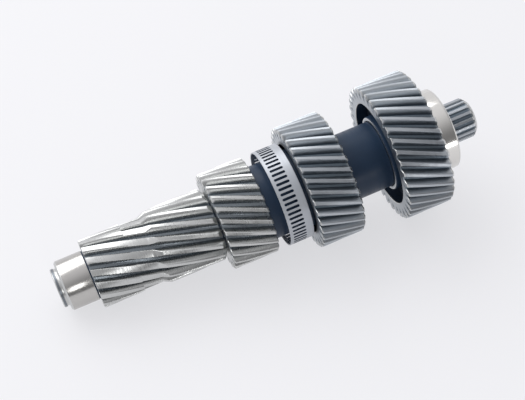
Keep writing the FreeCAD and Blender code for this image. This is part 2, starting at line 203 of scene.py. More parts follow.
class Skin:
    """A skin that grows ring by ring along the shaft."""

    def __init__(self, axis: AxisLine) -> None:
        """Starts an empty skin.

        Args:
            axis: The shaft's axis.
        """
        self.axis = axis
        self.points: list[np.ndarray] = []
        self.relief: list[np.ndarray] = []
        self.quads: list[np.ndarray] = []
        self.triangles: list[np.ndarray] = []
        self.quad_finish: list[np.ndarray] = []
        self.triangle_finish: list[np.ndarray] = []
        self.count = 0
        self.last: Ring | None = None
        self.first: Ring | None = None

    def _add(self, points: np.ndarray, relief: np.ndarray) -> np.ndarray:
        """Stores points.

        Args:
            points: Points of the row frame, in metres.
            relief: Their reliefs.

        Returns:
            Their numbers.
        """
        numbers = np.arange(self.count, self.count + len(points))
        self.points.append(points)
        self.relief.append(relief)
        self.count += len(points)
        return numbers

    def _keep(self, faces: np.ndarray, finish: Finish) -> None:
        """Stores faces of one finish.

        Args:
            faces: Rows of three or four point numbers.
            finish: Their finish.
        """
        slots = np.full(len(faces), list(Finish).index(finish))
        if faces.shape[1] == 4:
            self.quads.append(faces)
            self.quad_finish.append(slots)
        else:
            self.triangles.append(faces)
            self.triangle_finish.append(slots)

    @staticmethod
    def _zip(old: Ring, new: Ring) -> np.ndarray:
        """Triangles between two rings with different numbers of points.

        Both rings are sorted by angle. Each step round either ring is an event at the middle of the
        step, and the events in order of angle give one triangle each. Where an inset makes two
        neighbours cross in angle, the sort swaps them, which leaves a gap there.

        Args:
            old: The earlier ring.
            new: The later ring.

        Returns:
            Rows of three point numbers.
        """
        old_turn, new_turn = np.mod(old[1], TURN), np.mod(new[1], TURN)
        old_order = np.argsort(old_turn, kind="stable")
        new_order = np.argsort(new_turn, kind="stable")
        a, b = old[0][old_order], new[0][new_order]
        at_a, at_b = old_turn[old_order], new_turn[new_order]
        step_a = (at_a + np.append(at_a[1:], at_a[0] + TURN)) / 2
        step_b = (at_b + np.append(at_b[1:], at_b[0] + TURN)) / 2
        before_a = np.searchsorted(step_b, step_a, side="left") % len(b)
        before_b = np.searchsorted(step_a, step_b, side="right") % len(a)
        from_a = np.column_stack([a, np.roll(a, -1), b[before_a]])
        from_b = np.column_stack([a[before_b], np.roll(b, -1), b])
        return np.vstack([from_a, from_b])

    def _join(self, old: Ring, new: Ring, finish: Finish) -> None:
        """Joins two rings with quads, or with triangles where their point counts differ.

        Args:
            old: The earlier ring.
            new: The later ring.
            finish: Finish of the faces between them.
        """
        if len(old[0]) == len(new[0]):
            a, b = old[0], new[0]
            self._keep(np.column_stack([a, np.roll(a, -1), np.roll(b, -1), b]), finish)
        else:
            self._keep(self._zip(old, new), finish)

    def ring(
        self, station: float, radius: np.ndarray, angle: np.ndarray, finish: Finish, relief: np.ndarray
    ) -> None:
        """Adds a ring and joins it to the one before.

        Args:
            station: Its distance from the spigot's face, in millimetres.
            radius: Distances of its points from the axis, in millimetres.
            angle: Angles of its points, in radians.
            finish: Finish of the faces that join it to the ring before.
            relief: Reliefs of its points.
        """
        numbers = self._add(self.axis.place(station, radius, angle), np.broadcast_to(relief, angle.shape))
        new = (numbers, angle)
        if self.last is None:
            self.first = new
        else:
            self._join(self.last, new, finish)
        self.last = new

    def circle(self, station: float, radius: float, finish: Finish) -> None:
        """Adds a round ring."""
        angle = np.linspace(0.0, TURN, ROUND_POINTS, endpoint=False)
        self.ring(station, np.full(ROUND_POINTS, radius), angle, finish, np.ones(ROUND_POINTS))

    def turned(self, corners: list[Corner], round_mm: float = ROUND_MM) -> None:
        """Adds a turned stretch with its corners rounded.

        Args:
            corners: The corners of its outline.
            round_mm: How far each inner corner of the list is cut back.
        """
        for index, (station, radius, finish) in enumerate(corners):
            if 0 < index < len(corners) - 1:
                self._rounded(corners[index - 1], corners[index], corners[index + 1], round_mm)
            else:
                self.circle(station, radius, finish)

    def _rounded(self, before: Corner, corner: Corner, after: Corner, round_mm: float) -> None:
        """Adds the rings of one rounded corner, a quadratic curve cut back along both of its sides.

        Args:
            before: The corner before it.
            corner: The corner.
            after: The corner after it.
            round_mm: How far it is cut back where its sides are long enough.
        """
        here = np.array(corner[:2])
        back, ahead = np.array(before[:2]) - here, np.array(after[:2]) - here
        cut = min(round_mm, ROUND_SHARE * np.linalg.norm(back), ROUND_SHARE * np.linalg.norm(ahead))
        start = here + back / np.linalg.norm(back) * cut
        end = here + ahead / np.linalg.norm(ahead) * cut
        # Corners of faces painted dark stay dark; all other corners are painted bright as a painted
        # highlight.
        highlight_finish = corner[2] if corner[2] is Finish.DARK else Finish.EDGE
        for step, t in enumerate(ROUND_STEPS):
            place = (1 - t) ** 2 * start + 2 * t * (1 - t) * here + t**2 * end
            self.circle(place[0], place[1], corner[2] if step == 0 else highlight_finish)

    def tube(self, corners: list[Corner], round_mm: float = ROUND_MM) -> None:
        """Adds a turned ring whose outline closes on itself, with all its corners rounded.

        Args:
            corners: The corners of its outline.
            round_mm: How far each corner is cut back.
        """
        count = len(corners)
        for index in range(count):
            self._rounded(corners[index - 1], corners[index], corners[(index + 1) % count], round_mm)
        self.close(corners[0][2])

    def patch(self, station: np.ndarray, radius: float, angle: np.ndarray) -> np.ndarray:
        """Adds loose points on a cylinder and returns their numbers in the shape of the arrays."""
        points = self.axis.place(station.ravel(), np.full(station.size, radius), angle.ravel())
        return self._add(points, np.ones(station.size)).reshape(station.shape)

    def strip(self, one: np.ndarray, other: np.ndarray, finish: Finish) -> None:
        """Adds quads between two families of closed loops of numbers, one loop to a row."""
        quads = np.stack([one, np.roll(one, -1, axis=1), np.roll(other, -1, axis=1), other], axis=-1)
        self._keep(quads.reshape(-1, 4), finish)

    def cap_start(self, finish: Finish) -> None:
        """Closes the first ring with a fan to the axis, facing back along it."""
        self._fan(self.first[0], finish, backwards=True)

    def cap_end(self, finish: Finish) -> None:
        """Closes the last ring with a fan to the axis."""
        self._fan(self.last[0], finish, backwards=False)

    def _fan(self, ring: np.ndarray, finish: Finish, backwards: bool) -> None:
        """Adds triangles from a ring to its own middle.

        Args:
            ring: Numbers of the ring's points.
            finish: Finish of the triangles.
            backwards: Whether they face back along the axis.
        """
        points = np.vstack(self.points)
        middle = self._add(points[ring].mean(axis=0)[None, :], np.ones(1))
        centre = np.full(len(ring), middle[0])
        pair = [np.roll(ring, -1), ring] if backwards else [ring, np.roll(ring, -1)]
        self._keep(np.column_stack(pair + [centre]), finish)

    def close(self, finish: Finish) -> None:
        """Joins the last ring to the first, which makes a tube of the skin."""
        self._join(self.last, self.first, finish)

    def mesh(self, name: str) -> bpy.types.Mesh:
        """Puts the skin into a mesh with smooth faces and sharp edges where they should be.

        Args:
            name: Name of the mesh.

        Returns:
            The mesh, with its relief attribute: zero at a tooth's root and one at its tip.
        """
        points = np.vstack(self.points)
        quads = np.vstack(self.quads)
        triangles = np.vstack(self.triangles) if self.triangles else np.zeros((0, 3), int)
        finishes = np.concatenate(self.quad_finish + self.triangle_finish)
        mesh = bpy.data.meshes.new(name)
        mesh.vertices.add(len(points))
        mesh.vertices.foreach_set("co", points.astype(np.float32).ravel())
        mesh.loops.add(quads.size + triangles.size)
        mesh.loops.foreach_set("vertex_index", np.concatenate([quads.ravel(), triangles.ravel()]))
        sizes = np.concatenate([np.full(len(quads), 4), np.full(len(triangles), 3)])
        mesh.polygons.add(len(sizes))
        mesh.polygons.foreach_set("loop_start", np.concatenate([[0], np.cumsum(sizes)[:-1]]))
        mesh.polygons.foreach_set("material_index", finishes)
        relief = mesh.attributes.new("relief", "FLOAT", "POINT")
        relief.data.foreach_set("value", np.concatenate(self.relief).astype(np.float32))
        mesh.update(calc_edges=True)
        self._weld(mesh)
        mesh.shade_smooth()
        mesh.set_sharp_from_angle(angle=SHARP_ANGLE)
        return mesh

    @staticmethod
    def _weld(mesh: bpy.types.Mesh) -> None:
        """Merges points that lie on each other, as they do where two stretches of a skin meet.

        Args:
            mesh: The mesh to merge them in.
        """
        work = bmesh.new()
        work.from_mesh(mesh)
        bmesh.ops.remove_doubles(work, verts=work.verts, dist=WELD)
        bmesh.ops.dissolve_degenerate(work, edges=work.edges, dist=WELD)
        work.to_mesh(mesh)
        work.free()


@dataclass(frozen=True)
class ToothRow:
    """A row of right-handed helical teeth with involute flanks, in millimetres and degrees."""

    teeth: int
    lead: float
    root: float
    pitch: float
    base: float
    half_angle: float
    phase: float
    datum: float
    finish: Finish
    face: Finish
    edge_break: float = 0.5
    fillet_share: float = 0.16
    brink_share: float = 0.05
    brink_most: float = 0.45
    inset_share: float = 0.8

    def half_width(self, radius: np.ndarray) -> np.ndarray:
        """Half the angle that a tooth fills at a radius.

        It is the half angle at the pitch radius plus the involute function there, less the involute
        function at the radius, where inv(a) = tan(a) - a and cos(a) = base / radius.

        Args:
            radius: Radii in millimetres.

        Returns:
            Angles in radians.
        """
        at_pitch = math.acos(self.base / self.pitch)
        at_radius = np.arccos(self.base / np.maximum(radius, self.base))
        involutes = math.tan(at_pitch) - at_pitch - (np.tan(at_radius) - at_radius)
        return math.radians(self.half_angle) + involutes

    def section(self, tip: float) -> tuple[np.ndarray, np.ndarray, np.ndarray]:
        """The row's outline square to the axis, for teeth that end at a tip radius.

        Half a tooth runs from the middle of the gap along the root, through a fillet, up the
        involute flank and round the tip's edge to its middle. The other half mirrors it.

        Args:
            tip: Radius of the tips in millimetres.

        Returns:
            Angles, radii and reliefs of one whole turn of points.
        """
        half_pitch = math.pi / self.teeth
        depth = tip - self.root
        fillet = self.fillet_share * depth
        brink = min(self.brink_share * depth, self.brink_most)
        flank_radius = np.linspace(self.root + fillet, tip - brink, FLANK_POINTS)
        flank_angle = -self.half_width(flank_radius)
        foot = flank_angle[0] - fillet / self.root
        root_angle = np.linspace(-half_pitch, foot, ROOT_POINTS)
        root_radius = np.full(ROOT_POINTS, self.root)
        curve = np.array(FILLET_STEPS)
        fillet_angle = foot + (flank_angle[0] - foot) * (1 - (1 - curve) ** 2)
        fillet_radius = self.root + fillet * curve**2
        top = float(self.half_width(np.array([tip]))[0]) - brink * EDGE_IN / tip
        tip_angle = np.array([-(top + EDGE_OUT * brink / tip), -top, -top / 2])
        tip_radius = np.array([tip - EDGE_DOWN * brink, tip, tip])
        angle = np.concatenate([root_angle, fillet_angle, flank_angle, tip_angle])
        radius = np.concatenate([root_radius, fillet_radius, flank_radius, tip_radius])
        angle = np.concatenate([angle, [0.0], -angle[:0:-1]])
        radius = np.concatenate([radius, [tip], radius[:0:-1]])
        turns = np.arange(self.teeth)[:, None] * (2 * half_pitch)
        relief = np.clip((radius - self.root) / depth, 0.0, 1.0)
        return (turns + angle).ravel(), np.tile(radius, self.teeth), np.tile(relief, self.teeth)

    def turn_at(self, station: float) -> float:
        """The angle of the row's first tooth at a station, in radians."""
        return math.radians(self.phase + self.lead * (station - self.datum))

    def add(self, skin: Skin, outline: list[tuple[float, float]], step: float) -> None:
        """Adds the row to a skin, with its ends' edges broken.

        Args:
            skin: The skin that grows.
            outline: Stations and tip radii from the left end to the right end.
            step: Largest distance between two rings, in millimetres.
        """
        self._end(skin, outline[0], self.face)
        stations, tips = self._rings(outline, step)
        slopes = np.abs(np.diff(tips, prepend=0.0)) > SAME_PLACE
        for station, tip, slopes_here in zip(stations, tips, slopes):
            angle, radius, relief = self.section(tip)
            # The chamfer rings, where the tips slope, are painted bright: painted highlight.
            finish = Finish.EDGE if slopes_here else self.finish
            skin.ring(station, radius, angle + self.turn_at(station), finish, relief)
        self._end(skin, outline[-1], Finish.EDGE)

    def _rings(self, outline: list[tuple[float, float]], step: float) -> tuple[np.ndarray, np.ndarray]:
        """Stations and tip radii of the rings between the broken edges.

        Args:
            outline: Stations and tip radii from the left end to the right end.
            step: Largest distance between two rings, in millimetres.

        Returns:
            The stations, and the tip radii there.
        """
        first, last = outline[0][0] + self.edge_break, outline[-1][0] - self.edge_break
        stations, tips = [], []
        for (x0, r0), (x1, r1) in zip(outline[:-1], outline[1:]):
            count = max(1, math.ceil((x1 - x0) / step))
            share = np.linspace(0.0, 1.0, count + 1)
            stations.append(np.clip(x0 + share * (x1 - x0), first, last))
            tips.append(r0 + share * (r1 - r0))
        station, tip = np.concatenate(stations), np.concatenate(tips)
        fresh = np.append(True, (np.diff(station) > SAME_PLACE) | (np.abs(np.diff(tip)) > SAME_PLACE))
        return station[fresh], tip[fresh]

    def _end(self, skin: Skin, place: tuple[float, float], finish: Finish) -> None:
        """Adds the outline of an end face, drawn in square to itself by the break of its edges.

        Args:
            skin: The skin that grows.
            place: Station and tip radius of the end face.
            finish: Finish of the faces that lead to it.
        """
        angle, radius, relief = self.section(place[1])
        x, y = radius * np.cos(angle), radius * np.sin(angle)
        dx, dy = np.roll(x, -1) - np.roll(x, 1), np.roll(y, -1) - np.roll(y, 1)
        inset = self.inset_share * self.edge_break / np.hypot(dx, dy)
        x, y = x - dy * inset, y + dx * inset
        turned = np.unwrap(np.arctan2(y, x)) + self.turn_at(place[0])
        skin.ring(place[0], np.hypot(x, y), turned, finish, relief)


@dataclass(frozen=True)
class SteelFinish:
    """How one kind of steel surface looks.

    The colour runs from the root colour, at a tooth's root, to base, at its tip: the darker roots are
    painted shade in the gaps between the teeth, and the metallic value drops there too. Marks are the
    fine lines that a tool leaves round the shaft, and they turn the gloss and the surface a little.
    Real ones are far less than a millimetre wide, too fine to show in the render, so they are drawn as
    coarse as mark_mm. The sheen is that of the film of oxide and oil on steel that isn't bare.
    """

    base: str
    shaded_root: str
    bare: float
    root_metallic: float
    roughness: float
    mark_mm: float
    mark_depth: float
    cloud: float
    sheen: float = 0.5

    def material(self, name: str, tilt: float) -> bpy.types.Material:
        """Makes the material.

        Args:
            name: The material's name.
            tilt: Angle of the shaft's axis above the floor, in radians.

        Returns:
            A material that reads Object coordinates and the relief attribute.
        """
        made = bpy.data.materials.new(name)
        made.use_nodes = True
        tree = made.node_tree
        shader = tree.nodes["Principled BSDF"]
        place = add_node(tree, "ShaderNodeTexCoord").outputs["Object"]
        marks = self._marks(tree, place, tilt)
        rise = self._rise(tree)
        shader.inputs["Specular IOR Level"].default_value = self.sheen
        tree.links.new(self._colour(tree, place, rise), shader.inputs["Base Color"])
        self._set_metallic(tree, shader, rise)
        low, high = self.roughness * (1.0 - GLOSS_SWING), self.roughness * (1.0 + GLOSS_SWING)
        gloss = add_node(
            tree,
            "ShaderNodeMapRange",
            {"Value": marks, "From Min": NOISE_LOW, "From Max": NOISE_HIGH, "To Min": low, "To Max": high},
        )
        tree.links.new(gloss.outputs["Result"], shader.inputs["Roughness"])
        distance = self.mark_mm * MM * MARK_HEIGHT
        bump = add_node(
            tree, "ShaderNodeBump", {"Height": marks, "Strength": self.mark_depth, "Distance": distance}
        )
        tree.links.new(bump.outputs["Normal"], shader.inputs["Normal"])
        return made

    def _marks(
        self, tree: bpy.types.NodeTree, place: bpy.types.NodeSocket, tilt: float
    ) -> bpy.types.NodeSocket:
        """Noise drawn out round the shaft into tool marks.

        Args:
            tree: The material's nodes.
            place: The socket of Object coordinates.
            tilt: Angle of the shaft's axis above the floor, in radians.

        Returns:
            The socket of the marks.
        """
        level = add_node(tree, "ShaderNodeMapping", {"Vector": place, "Rotation": (0.0, tilt, 0.0)})
        rate = 1.0 / (self.mark_mm * MM)
        scale = (rate, rate / MARK_LENGTH, rate / MARK_LENGTH)
        drawn = add_node(tree, "ShaderNodeMapping", {"Vector": level.outputs["Vector"], "Scale": scale})
        noise = {"Vector": drawn.outputs["Vector"], "Scale": 1.0, "Detail": 3.0}
        return add_node(tree, "ShaderNodeTexNoise", noise).outputs["Fac"]

    def _rise(self, tree: bpy.types.NodeTree) -> bpy.types.NodeSocket:
        """The share of the tip's colour, rising from the painted shade of a tooth's root to its upper
        flank.

        Args:
            tree: The material's nodes.

        Returns:
            The socket of the share.
        """
        relief = add_node(tree, "ShaderNodeAttribute", attribute_name="relief")
        rise = {"Value": relief.outputs["Fac"], "From Min": ROOT_SHARE, "From Max": FLANK_SHARE}
        return add_node(tree, "ShaderNodeMapRange", rise, interpolation_type="SMOOTHSTEP").outputs["Result"]

    def _colour(
        self, tree: bpy.types.NodeTree, place: bpy.types.NodeSocket, rise: bpy.types.NodeSocket
    ) -> bpy.types.NodeSocket:
        """The colour over the teeth's depth, with painted shade at the roots, made uneven by faint clouds
        of stain and handling.

        Args:
            tree: The material's nodes.
            place: The socket of Object coordinates.
            rise: The socket of the share of the tip's colour, out of the painted root shade.

        Returns:
            The socket of the colour.
        """
        # Painted shade: the tooth roots take the darker root colour.
        pair = {"Factor": rise, 6: linear(self.shaded_root), 7: linear(self.base)}
        colour = add_node(tree, "ShaderNodeMix", pair, data_type="RGBA")
        clouds = {"Vector": place, "Scale": 1.0 / (CLOUD_MM * MM), "Detail": 4.0}
        cloud = add_node(tree, "ShaderNodeTexNoise", clouds)
        swing = {"Value": cloud.outputs["Fac"], "To Min": 1.0 - self.cloud, "To Max": 1.0 + self.cloud}
        shade = add_node(tree, "ShaderNodeMapRange", swing)
        varied = {0: colour.outputs[2], "Scale": shade.outputs["Result"]}
        return add_node(tree, "ShaderNodeVectorMath", varied, operation="SCALE").outputs["Vector"]

    def _set_metallic(
        self, tree: bpy.types.NodeTree, shader: bpy.types.Node, rise: bpy.types.NodeSocket
    ) -> None:
        """Sets how metallic the surface is, over the depth of the teeth where that differs.

        Args:
            tree: The material's nodes.
            shader: The material's shader.
            rise: The socket of the share of the tip's colour, out of the painted root shade.
        """
        if self.bare == self.root_metallic:
            shader.inputs["Metallic"].default_value = self.bare
            return
        metallic_span = {"Value": rise, "To Min": self.root_metallic, "To Max": self.bare}
        node = add_node(tree, "ShaderNodeMapRange", metallic_span)
        tree.links.new(node.outputs["Result"], shader.inputs["Metallic"])


FINISHES = {
    # A cylinder ground for a bearing: bright, with lines round it too fine to see one by one.
    Finish.GROUND: SteelFinish("#BDBBB8", "#BDBBB8", 1.0, 1.0, 0.20, 1.0, 0.03, 0.04),
    # A bearing's race, finished finer than the journal: the clearest reflections of all.
    Finish.POLISHED: SteelFinish("#DCDAD6", "#DCDAD6", 1.0, 1.0, 0.15, 1.0, 0.03, 0.03),
    # Shaved flanks of the pinions: bright tips and flanks over roots darkened as painted shade.
    Finish.HOBBED: SteelFinish("#C4C5C4", "#7F868C", 1.0, 0.8, 0.30, 1.6, 0.012, 0.06),
    # Ground flanks of the pressed-on gears: a darker, softer grey, with painted shade at the roots.
    Finish.GEAR: SteelFinish("#AEB3B8", "#67727C", 1.0, 0.8, 0.38, 1.6, 0.012, 0.06),
    # Unground surfaces, left dark by the hardening furnace and by oil. The same near-black is also painted
    # shade on the gears' recesses and hubs and on the ring's slot walls.
    Finish.DARK: SteelFinish("#22344A", "#1A2838", 0.0, 0.0, 0.40, 2.0, 0.06, 0.20, 0.25),
    # Bright sheet, pressed and pierced.
    Finish.SHEET: SteelFinish("#B4B8BE", "#B4B8BE", 0.5, 0.5, 0.40, 1.5, 0.05, 0.04),
    # Rounded edges, chamfers and the journal's neck: a bright, glossy colour, brighter than most faces
    # beside them, as painted highlight lines along the edges.
    Finish.EDGE: SteelFinish("#C8C9C8", "#7F868C", 1.0, 0.8, 0.28, 1.5, 0.012, 0.04),
    # The spigot, turned and left as it came from the tool, and the shaft's end faces: a darker grey, partly
    # painted shade on the spigot's side.
    Finish.SPIGOT: SteelFinish("#777C82", "#777C82", 0.8, 0.8, 0.35, 1.5, 0.10, 0.08),
}


@dataclass
class Wardrobe:
    """The materials of all finishes, in the order that the skins number them."""

    tilt: float
    materials: list[bpy.types.Material] = field(default_factory=list)

    def __post_init__(self) -> None:
        """Makes one material for each finish."""
        self.materials = [FINISHES[finish].material(finish.value, self.tilt) for finish in Finish]

    def dress(self, mesh: bpy.types.Mesh) -> None:
        """Gives a mesh the materials that its faces name, and no others.

        Args:
            mesh: A skin's mesh, whose material numbers are those of all finishes.
        """
        index = np.zeros(len(mesh.polygons), np.int32)
        mesh.polygons.foreach_get("material_index", index)
        used, slots = np.unique(index, return_inverse=True)
        for number in used:
            mesh.materials.append(self.materials[number])
        mesh.polygons.foreach_set("material_index", slots.astype(np.int32))


def stand_for(skin: Skin, node: str, wardrobe: Wardrobe) -> bpy.types.Object:
    """Makes a skin into the object that stands for a CAD node.

    Args:
        skin: The finished skin.
        node: The CAD node's name.
        wardrobe: The materials.

    Returns:
        The new object, riding on the root body.
    """
    mesh = skin.mesh(node + "_skin")
    wardrobe.dress(mesh)
    piece = bpy.data.objects.new(node + "_skin", mesh)
    bpy.context.scene.collection.objects.link(piece)
    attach(piece, "root")
    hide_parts(node)
    return piece


@dataclass(frozen=True)
class Countershaft:
    """The forging with its spigot, journal, three pinions, seats and splined tail, in millimetres."""

    spigot: float = 23.2
    spigot_end: float = 4.2
    neck: float = 22.4
    journal_start: float = 6.8
    journal: float = 30.0
    journal_end: float = 40.2
    journal_chamfer: float = 2.2
    relief: float = 29.2
    front_pinion: float = 41.7
    front_tip: float = 41.2
    waist_start: float = 91.3
    waist_tip: float = 39.6
    lead_in: float = 114.6
    middle_pinion: float = 123.2
    middle_tip: float = 44.1
    lead_out: float = 190.0
    lead_out_tip: float = 38.5
    runout_start: float = 194.7
    runout: float = 32.5
    rear_pinion: float = 196.0
    rear_tip: float = 58.8
    rear_chamfer: float = 1.4
    middle_start: float = 251.7
    middle: float = 45.0
    ring_seat: float = 292.8
    small_seat: float = 42.0
    link_start: float = 353.9
    link: float = 40.6
    large_seat_start: float = 405.8
    large_seat: float = 38.0
    bearing_seat_start: float = 464.1
    bearing_seat: float = 37.5
    tail: float = 490.4
    tail_end: float = 525.8
    spline_tip: float = 24.3
    spline_root: float = 21.7
    tail_chamfer: float = 5.4
    spigot_chamfer: float = 0.8
    front_chamfer: float = 0.8
    seat_chamfer: float = 1.0
    tail_face: float = 3.0
    spline_left: float = 0.4
    cone_gap: float = 0.2
    end_face: float = 4.0
    ring_step: float = 2.4
    spline_step: float = 4.0

    @property
    def journal_middle(self) -> float:
        """Station of the middle of the journal's full diameter."""
        return (self.journal_start + self.journal_chamfer + self.journal_end) / 2

    @property
    def pinions(self) -> ToothRow:
        """The one row of teeth of the front and middle pinions."""
        return ToothRow(
            teeth=16, lead=0.445, root=33.5, pitch=38.0, base=36.5, half_angle=7.0,
            phase=11.25, datum=self.front_pinion + self.front_chamfer,
            finish=Finish.HOBBED, face=Finish.HOBBED,
        )

    @property
    def rear_teeth(self) -> ToothRow:
        """The teeth of the rear pinion."""
        return ToothRow(
            teeth=24, lead=0.44, root=49.4, pitch=54.3, base=51.3, half_angle=3.9,
            phase=6.5, datum=self.rear_pinion, finish=Finish.HOBBED, face=Finish.HOBBED,
        )

    @property
    def spline(self) -> ToothRow:
        """The tail's spline."""
        return ToothRow(
            teeth=18, lead=0.0, root=self.spline_root, pitch=23.0, base=21.6, half_angle=5.0,
            phase=6.5, datum=self.tail, finish=Finish.GEAR, face=Finish.DARK, edge_break=0.25,
        )

    def front_end(self, skin: Skin) -> None:
        """Adds the spigot (painted shade), its neck (painted highlight), the journal and the relief groove.

        Args:
            skin: The skin that grows.
        """
        skin.turned([
            (0.0, self.spigot - self.spigot_chamfer, Finish.SPIGOT),
            (self.spigot_chamfer, self.spigot, Finish.EDGE),
            (self.spigot_end, self.spigot, Finish.SPIGOT),
            (self.spigot_end, self.neck, Finish.EDGE),
            (self.journal_start, self.neck, Finish.EDGE),
            (self.journal_start, self.journal - self.journal_chamfer, Finish.GROUND),
            (self.journal_start + self.journal_chamfer, self.journal, Finish.EDGE),
            (self.journal_end, self.journal, Finish.GROUND),
            (self.journal_end, self.relief, Finish.DARK),
            (self.front_pinion, self.relief, Finish.DARK),
        ])
        skin.cap_start(Finish.SPIGOT)

    def tooth_rows(self, skin: Skin) -> None:
        """Adds both joined pinions with the waist between them, the run-out and the rear pinion.

        Args:
            skin: The skin that grows.
        """
        self.pinions.add(skin, [
            (self.front_pinion, self.front_tip - self.front_chamfer),
            (self.front_pinion + self.front_chamfer, self.front_tip),
            (self.waist_start, self.front_tip),
            (self.waist_start, self.waist_tip),
            (self.lead_in, self.waist_tip),
            (self.middle_pinion, self.middle_tip),
            (self.lead_out, self.middle_tip),
            (self.runout_start, self.lead_out_tip),
        ], self.ring_step)
        skin.circle(self.runout_start, self.runout, Finish.HOBBED)
        skin.circle(self.rear_pinion, self.runout, Finish.DARK)
        self.rear_teeth.add(skin, [
            (self.rear_pinion, self.rear_tip - self.rear_chamfer),
            (self.rear_pinion + self.rear_chamfer, self.rear_tip),
            (self.middle_start - self.rear_chamfer, self.rear_tip),
            (self.middle_start, self.rear_tip - self.rear_chamfer),
        ], self.ring_step)

    def rear_end(self, skin: Skin) -> None:
        """Adds the middle section, the stepped seats and the splined tail.

        Args:
            skin: The skin that grows.
        """
        skin.turned([
            (self.middle_start, self.middle, Finish.HOBBED),
            (self.ring_seat, self.middle, Finish.DARK),
            (self.ring_seat, self.small_seat, Finish.DARK),
            (self.link_start, self.small_seat, Finish.GROUND),
            (self.link_start, self.link, Finish.DARK),
            (self.large_seat_start, self.link, Finish.DARK),
            (self.large_seat_start, self.large_seat, Finish.DARK),
            (self.bearing_seat_start, self.large_seat, Finish.GROUND),
            (self.bearing_seat_start, self.bearing_seat, Finish.GROUND),
            (self.tail - self.seat_chamfer, self.bearing_seat, Finish.GROUND),
            (self.tail, self.bearing_seat - self.seat_chamfer, Finish.EDGE),
            (self.tail, self.spline_tip + self.tail_face, Finish.DARK),
        ])
        straight_end = self.tail_end - self.tail_chamfer
        last_tip = self.spline_root + self.spline_left
        cone_start = straight_end + self.spline_tip - self.spline_root + self.cone_gap
        end_radius = self.spline_tip - self.tail_chamfer
        self.spline.add(skin, [
            (self.tail, self.spline_tip),
            (straight_end, self.spline_tip),
            (straight_end + self.spline_tip - last_tip, last_tip),
        ], self.spline_step)
        skin.turned([
            (cone_start, self.spline_root - self.cone_gap, Finish.EDGE),
            (self.tail_end, end_radius, Finish.EDGE),
            (self.tail_end, end_radius - self.end_face, Finish.SPIGOT),
        ])
        skin.cap_end(Finish.SPIGOT)

    def build(self, axis: AxisLine, wardrobe: Wardrobe) -> bpy.types.Object:
        """Builds the whole shaft as one skin."""
        skin = Skin(axis)
        self.front_end(skin)
        self.tooth_rows(skin)
        self.rear_end(skin)
        return stand_for(skin, "countershaft", wardrobe)


@dataclass(frozen=True)
class PressedGear:
    """A helical gear pressed on to the shaft, with a recess in each face, in millimetres."""

    node: str
    teeth: ToothRow
    tip: float
    hub_face: float
    start: float
    end: float
    front_chamfer: float
    rear_chamfer: float
    bore: float
    bore_chamfer: float
    hub: float
    recess: float
    recess_depth: float
    hub_chamfer: float = 1.2
    rim_break: float = 0.7
    corner_round: float = 0.5
    ring_step: float = 2.4

    def build(self, axis: AxisLine, wardrobe: Wardrobe) -> bpy.types.Object:
        """Builds the gear: its toothed rim, both recesses, the hub and the bore."""
        skin = Skin(axis)
        skin.circle(self.start, self.recess + self.rim_break, Finish.GEAR)
        self.teeth.add(skin, [
            (self.start, self.tip - self.front_chamfer),
            (self.start + self.front_chamfer, self.tip),
            (self.end - self.rear_chamfer, self.tip),
            (self.end, self.tip - self.rear_chamfer),
        ], self.ring_step)
        floor, front_floor = self.end - self.recess_depth, self.start + self.recess_depth
        # Near-black on the recess walls and floors, the hub's sides and the bore's chamfer: painted shade
        # in the recesses.
        skin.turned([
            (self.end, self.recess + self.rim_break, Finish.GEAR),
            (self.end - self.rim_break, self.recess, Finish.EDGE),
            (floor, self.recess, Finish.DARK),
            (floor, self.hub, Finish.DARK),
            (self.end, self.hub, Finish.DARK),
            (self.end, self.bore, Finish.GEAR),
            (self.hub_face + self.bore_chamfer, self.bore, Finish.GROUND),
            (self.hub_face, self.bore + self.bore_chamfer, Finish.DARK),
            (self.hub_face, self.hub - self.hub_chamfer, Finish.GEAR),
            (self.hub_face + self.hub_chamfer, self.hub, Finish.DARK),
            (front_floor, self.hub, Finish.DARK),
            (front_floor, self.recess, Finish.DARK),
            (self.start + self.rim_break, self.recess, Finish.DARK),
        ], self.corner_round)
        skin.close(Finish.EDGE)
        return stand_for(skin, self.node, wardrobe)


def small_gear() -> PressedGear:
    """The small gear's sizes."""
    start, front_chamfer = 299.5, 1.2
    teeth = ToothRow(
        teeth=33, lead=0.32, root=66.0, pitch=71.0, base=66.5, half_angle=2.8,
        phase=180.0 / 33, datum=start + front_chamfer, finish=Finish.GEAR, face=Finish.GEAR, edge_break=0.6,
    )
    return PressedGear(
        "small_gear", teeth, tip=75.0, hub_face=295.3, start=start, end=353.9, front_chamfer=front_chamfer,
        rear_chamfer=2.2, bore=42.0, bore_chamfer=1.0, hub=47.5, recess=55.5, recess_depth=12.0,
    )


def large_gear() -> PressedGear:
    """The large gear's sizes."""
    start = 405.8
    teeth = ToothRow(
        teeth=36, lead=0.32, root=74.0, pitch=79.0, base=73.8, half_angle=2.6,
        phase=9.4, datum=start, finish=Finish.GEAR, face=Finish.GEAR, edge_break=0.6,
    )
    return PressedGear(
        "large_gear", teeth, tip=83.0, hub_face=start, start=start, end=464.1, front_chamfer=1.2,
        rear_chamfer=2.6, bore=38.0, bore_chamfer=3.4, hub=45.8, recess=63.3, recess_depth=16.0,
    )


